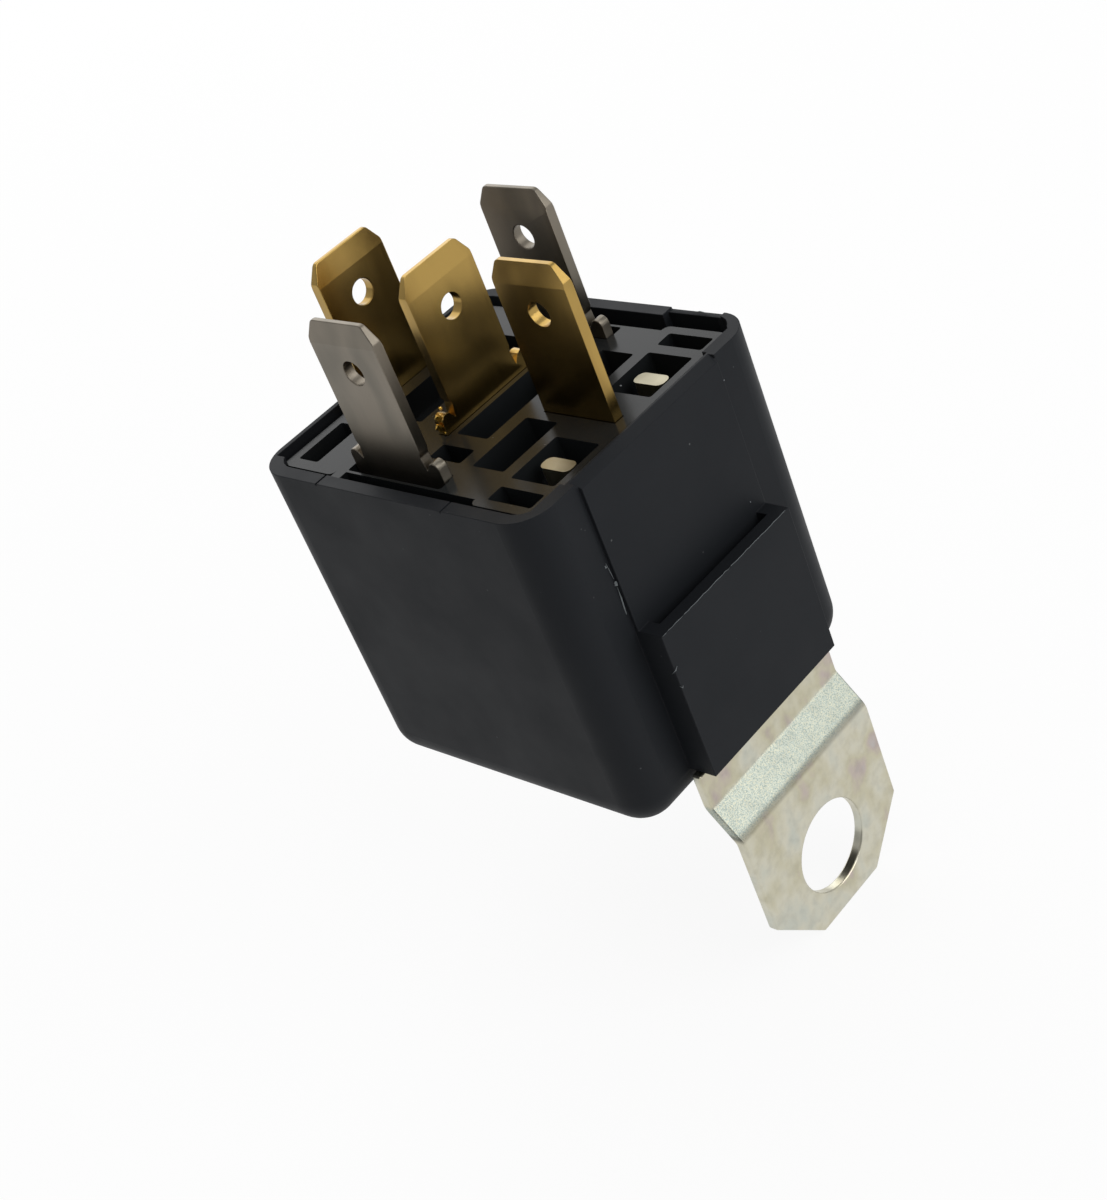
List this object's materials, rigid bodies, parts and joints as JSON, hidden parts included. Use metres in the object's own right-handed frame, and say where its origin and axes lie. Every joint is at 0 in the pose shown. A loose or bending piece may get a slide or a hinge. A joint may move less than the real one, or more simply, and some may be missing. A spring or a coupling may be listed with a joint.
{
  "type": "automotive relay",
  "caption": "Plug-in cube relay for vehicles: black cover with a pocket and a jogged bolt-on bracket, brass and tinned blades on top, clapper magnet system inside.",
  "frame": {"origin": "middle of the blade pattern, on the axis of blade 87a, at the level of the cover's rim", "axes": "+Z out along the blades, +X towards the bracket, +Y from blade 86 to blade 85"},
  "size_m": [0.0295, 0.0236, 0.0527],
  "materials": {
    "cover_plastic": "satin moulded",
    "base_plastic": "gloss moulded",
    "zinc_plate": "zinc plated, clear passivated",
    "tinned_blade": "tin plated",
    "brass_blade": "bright, unplated",
    "bobbin_plastic": "moulded",
    "enamel_wire": "enamelled copper",
    "soft_iron": "annealed, thinly plated",
    "blade_alloy": "rolled",
    "rivet_steel": "plated",
    "contact_silver": "silver alloy",
    "spring_steel": "drawn",
    "copper_braid": "braided",
    "resistor_body": "lacquered",
    "tinned_wire": "tinned"
  },
  "bodies": {
    "housing": {"cover": "cover_plastic", "base": "base_plastic", "bracket": "zinc_plate", "terminal_86": "tinned_blade", "terminal_85": "tinned_blade", "terminal_30": "brass_blade", "terminal_87": "brass_blade", "terminal_87a": "brass_blade", "bobbin": "bobbin_plastic", "winding": "enamel_wire", "core": "soft_iron", "yoke": "soft_iron", "contact_no": "contact_silver", "contact_nc": "contact_silver", "return_spring": "spring_steel", "braid": "copper_braid", "coil_leads": "enamel_wire", "resistor": "resistor_body", "resistor_leads": "tinned_wire"},
    "armature": {"armature": "soft_iron", "contact_blade": "blade_alloy", "blade_rivets": "rivet_steel", "moving_contact": "contact_silver"}
  },
  "joints": [
    {"name": "armature_pivot", "type": "hinge", "parent": "housing", "child": "armature", "pos_m": [0.0122, 0, -0.0196], "axis": [0, 1, 0], "range_deg": [0, 3.2], "stiffness_Nm_per_rad": 0.002, "springref_deg": -22.92, "deforming": ["return_spring", "braid"]}
  ]
}
